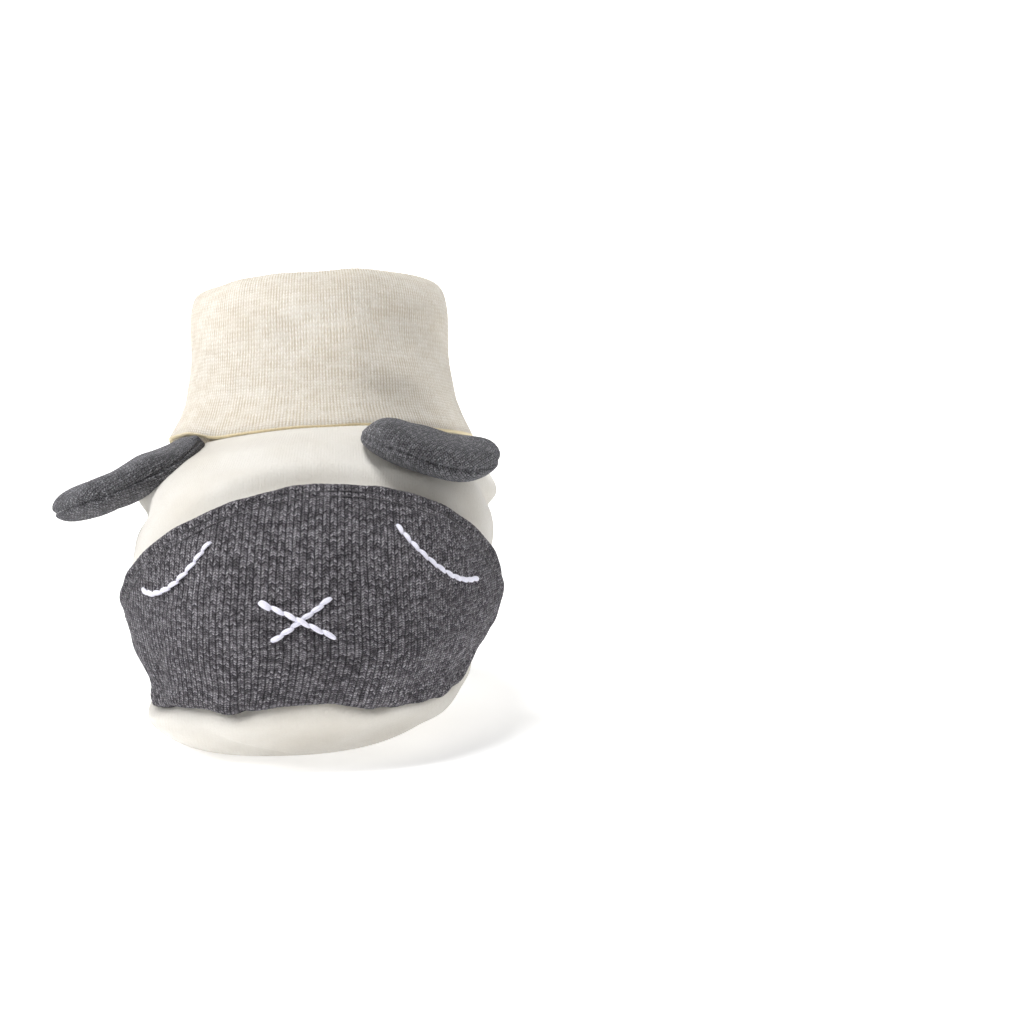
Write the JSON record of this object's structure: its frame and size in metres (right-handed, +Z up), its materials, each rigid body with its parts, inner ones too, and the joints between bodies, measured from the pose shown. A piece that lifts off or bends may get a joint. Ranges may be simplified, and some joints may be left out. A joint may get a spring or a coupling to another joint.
{
  "type": "baby bootie",
  "caption": "Soft baby bootie with a turned-down rib cuff, a knitted animal-face toe panel and two floppy sewn-on ears.",
  "frame": {"origin": "middle of the outsole's flat underside, on the surface that the bootie stands on", "axes": "+Z up, -Y towards the toe, +X to the right of someone who faces the toe"},
  "size_m": [0.0835, 0.1121, 0.0833],
  "materials": {
    "velour": "soft off-white cotton velour",
    "cream_rib": "cream one-by-one rib knit",
    "grey_knit": "heather charcoal rib knit",
    "lining_fabric": "cream cotton jersey",
    "wadding": "polyester wadding",
    "white_thread": "white embroidery cotton",
    "grey_thread": "dark grey sewing thread",
    "cream_thread": "cream sewing thread"
  },
  "bodies": {
    "bootie": {"outsole": "velour", "sole_wadding": "wadding", "insole": "lining_fabric", "upper": "velour", "toe_panel": "grey_knit", "lining": "lining_fabric", "cuff": "cream_rib", "sole_seam_thread": "cream_thread", "ankle_seam_thread": "cream_thread", "heel_seam_thread": "cream_thread", "panel_topstitch_outer": "grey_thread", "panel_topstitch_inner": "grey_thread", "left_eye_thread": "white_thread", "right_eye_thread": "white_thread", "nose_thread_under": "white_thread", "nose_thread_over": "white_thread"},
    "left_ear": {"left_ear_top": "grey_knit", "left_ear_under": "grey_knit", "left_ear_wadding": "wadding"},
    "right_ear": {"right_ear_top": "grey_knit", "right_ear_under": "grey_knit", "right_ear_wadding": "wadding"}
  },
  "joints": [
    {"name": "left_ear_flop", "type": "hinge", "parent": "bootie", "child": "left_ear", "pos_m": [-0.02248, -0.0002, 0.05288], "axis": [-0.3378, 0.9281, -0.1564], "range_deg": [-2, 45], "stiffness_Nm_per_rad": 0.006},
    {"name": "right_ear_flop", "type": "hinge", "parent": "bootie", "child": "right_ear", "pos_m": [0.01999, -0.00329, 0.05342], "axis": [-0.8554, -0.4938, 0.1564], "range_deg": [-10, 45], "stiffness_Nm_per_rad": 0.006}
  ]
}
